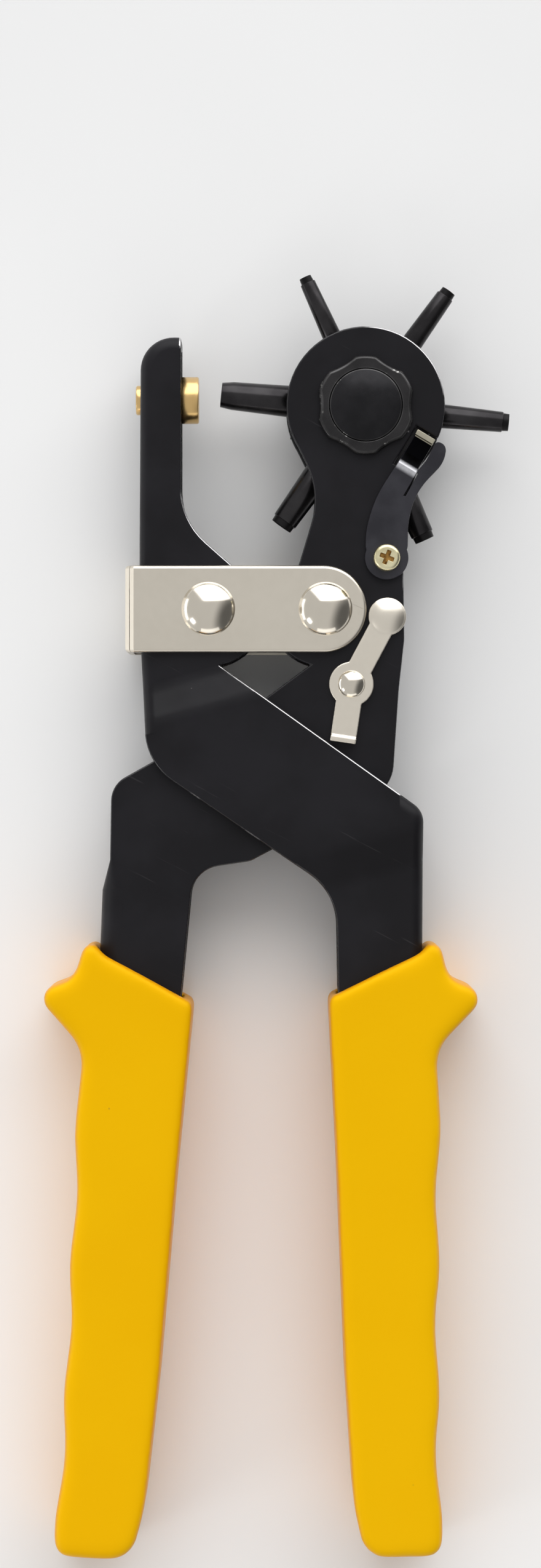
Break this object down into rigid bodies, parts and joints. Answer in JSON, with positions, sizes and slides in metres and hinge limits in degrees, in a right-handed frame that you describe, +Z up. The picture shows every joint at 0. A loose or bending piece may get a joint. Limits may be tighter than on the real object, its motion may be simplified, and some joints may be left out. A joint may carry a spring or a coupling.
{
  "type": "hole punch pliers",
  "caption": "Hand pliers that punch round holes in leather: two crossing sheet steel levers on a short link, a wheel of punch tubes on one jaw and an anvil on the other",
  "frame": {"origin": "on the ground under the middle of the tool as it lies on its back, at rest", "axes": "+X towards the wheel side, square to the tool; +Y from the handles to the jaws; +Z up, out of the front face, which carries the latch and the index spring"},
  "size_m": [0.0933, 0.2562, 0.023],
  "materials": {
    "black_paint": "satin black paint on pressed steel, with a few bright sheared edges",
    "black_steel": "satin blackened steel",
    "tube_steel": "turned and blackened tool steel",
    "spring_steel": "dark spring steel",
    "nickel": "bright nickel plating",
    "yellow_zinc": "yellow zinc plating",
    "brass": "turned brass",
    "grip_plastic": "satin amber yellow plastic"
  },
  "bodies": {
    "link": {"link_plate": "nickel", "link_rivet_left": "nickel", "link_rivet_right": "nickel", "pivot_bush_left": "nickel", "pivot_bush_right": "nickel", "opening_spring": "spring_steel"},
    "anvil_arm": {"anvil_lever": "black_paint", "anvil": "brass", "grip_right": "grip_plastic"},
    "wheel_arm": {"wheel_lever": "black_paint", "grip_left": "grip_plastic", "wheel_axle": "black_steel", "axle_cap_rear": "black_steel", "hub_washer_front": "black_steel", "hub_washer_rear": "black_steel", "thrust_washer_front": "black_steel", "thrust_washer_rear": "black_steel", "index_screw": "yellow_zinc", "latch_rivet": "nickel"},
    "turret": {"punch_wheel": "black_steel", "punch_tube_1": "tube_steel", "punch_tube_2": "tube_steel", "punch_tube_3": "tube_steel", "punch_tube_4": "tube_steel", "punch_tube_5": "tube_steel", "punch_tube_6": "tube_steel"},
    "index_leaf": {"index_spring": "spring_steel"},
    "latch_arm": {"latch": "nickel"}
  },
  "joints": [
    {"name": "anvil_lever_pivot", "type": "hinge", "parent": "link", "child": "anvil_arm", "pos_m": [-0.01373, 0.06066, 0.0115], "axis": [0, 0, 1], "range_deg": [-2.85, 0], "stiffness_Nm_per_rad": 4, "springref_deg": 5.16, "deforming": ["opening_spring"]},
    {"name": "wheel_lever_pivot", "type": "hinge", "parent": "link", "child": "wheel_arm", "pos_m": [0.00957, 0.06066, 0.0115], "axis": [0, 0, 1], "range_deg": [0, 2.85]},
    {"name": "wheel_turn", "type": "hinge", "parent": "wheel_arm", "child": "turret", "pos_m": [0.01762, 0.10121, 0.0115], "axis": [0, 0, 1], "continuous": true},
    {"name": "index_lift", "type": "hinge", "parent": "wheel_arm", "child": "index_leaf", "pos_m": [0.02331, 0.07339, 0.01905], "axis": [0.8572, -0.515, 0], "range_deg": [0, 2.5], "stiffness_Nm_per_rad": 0.5, "springref_deg": -1.15},
    {"name": "latch_swing", "type": "hinge", "parent": "wheel_arm", "child": "latch_arm", "pos_m": [0.01475, 0.04572, 0.0195], "axis": [0, 0, -1], "range_deg": [0, 75]}
  ],
  "couplings": [
    {"joint": "wheel_lever_pivot", "follows": "anvil_lever_pivot", "ratio": -1}
  ]
}
